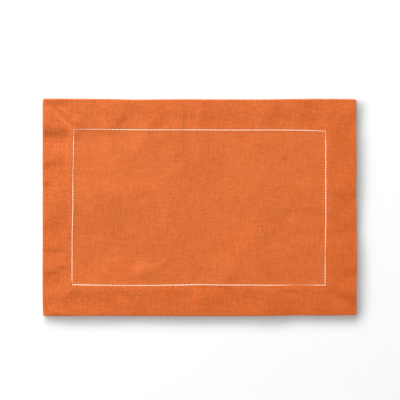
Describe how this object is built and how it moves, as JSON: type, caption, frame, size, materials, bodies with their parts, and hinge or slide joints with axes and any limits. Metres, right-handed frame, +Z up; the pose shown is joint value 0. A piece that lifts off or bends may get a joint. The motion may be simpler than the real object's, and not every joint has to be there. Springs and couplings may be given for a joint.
{
  "type": "hemstitched fabric placemat",
  "caption": "Flat rectangular linen placemat with a wide mitred hem and a drawn-thread row framing its field.",
  "frame": {"origin": "middle of the mat's underside, on the surface that it lies on", "axes": "+X along the long side, +Y along the short side, +Z up out of the face"},
  "size_m": [0.4809, 0.3324, 0.0021],
  "materials": {
    "linen": "plain-woven slubby linen, dyed orange, matt"
  },
  "bodies": {
    "root": {"placemat": "linen"}
  },
  "joints": []
}
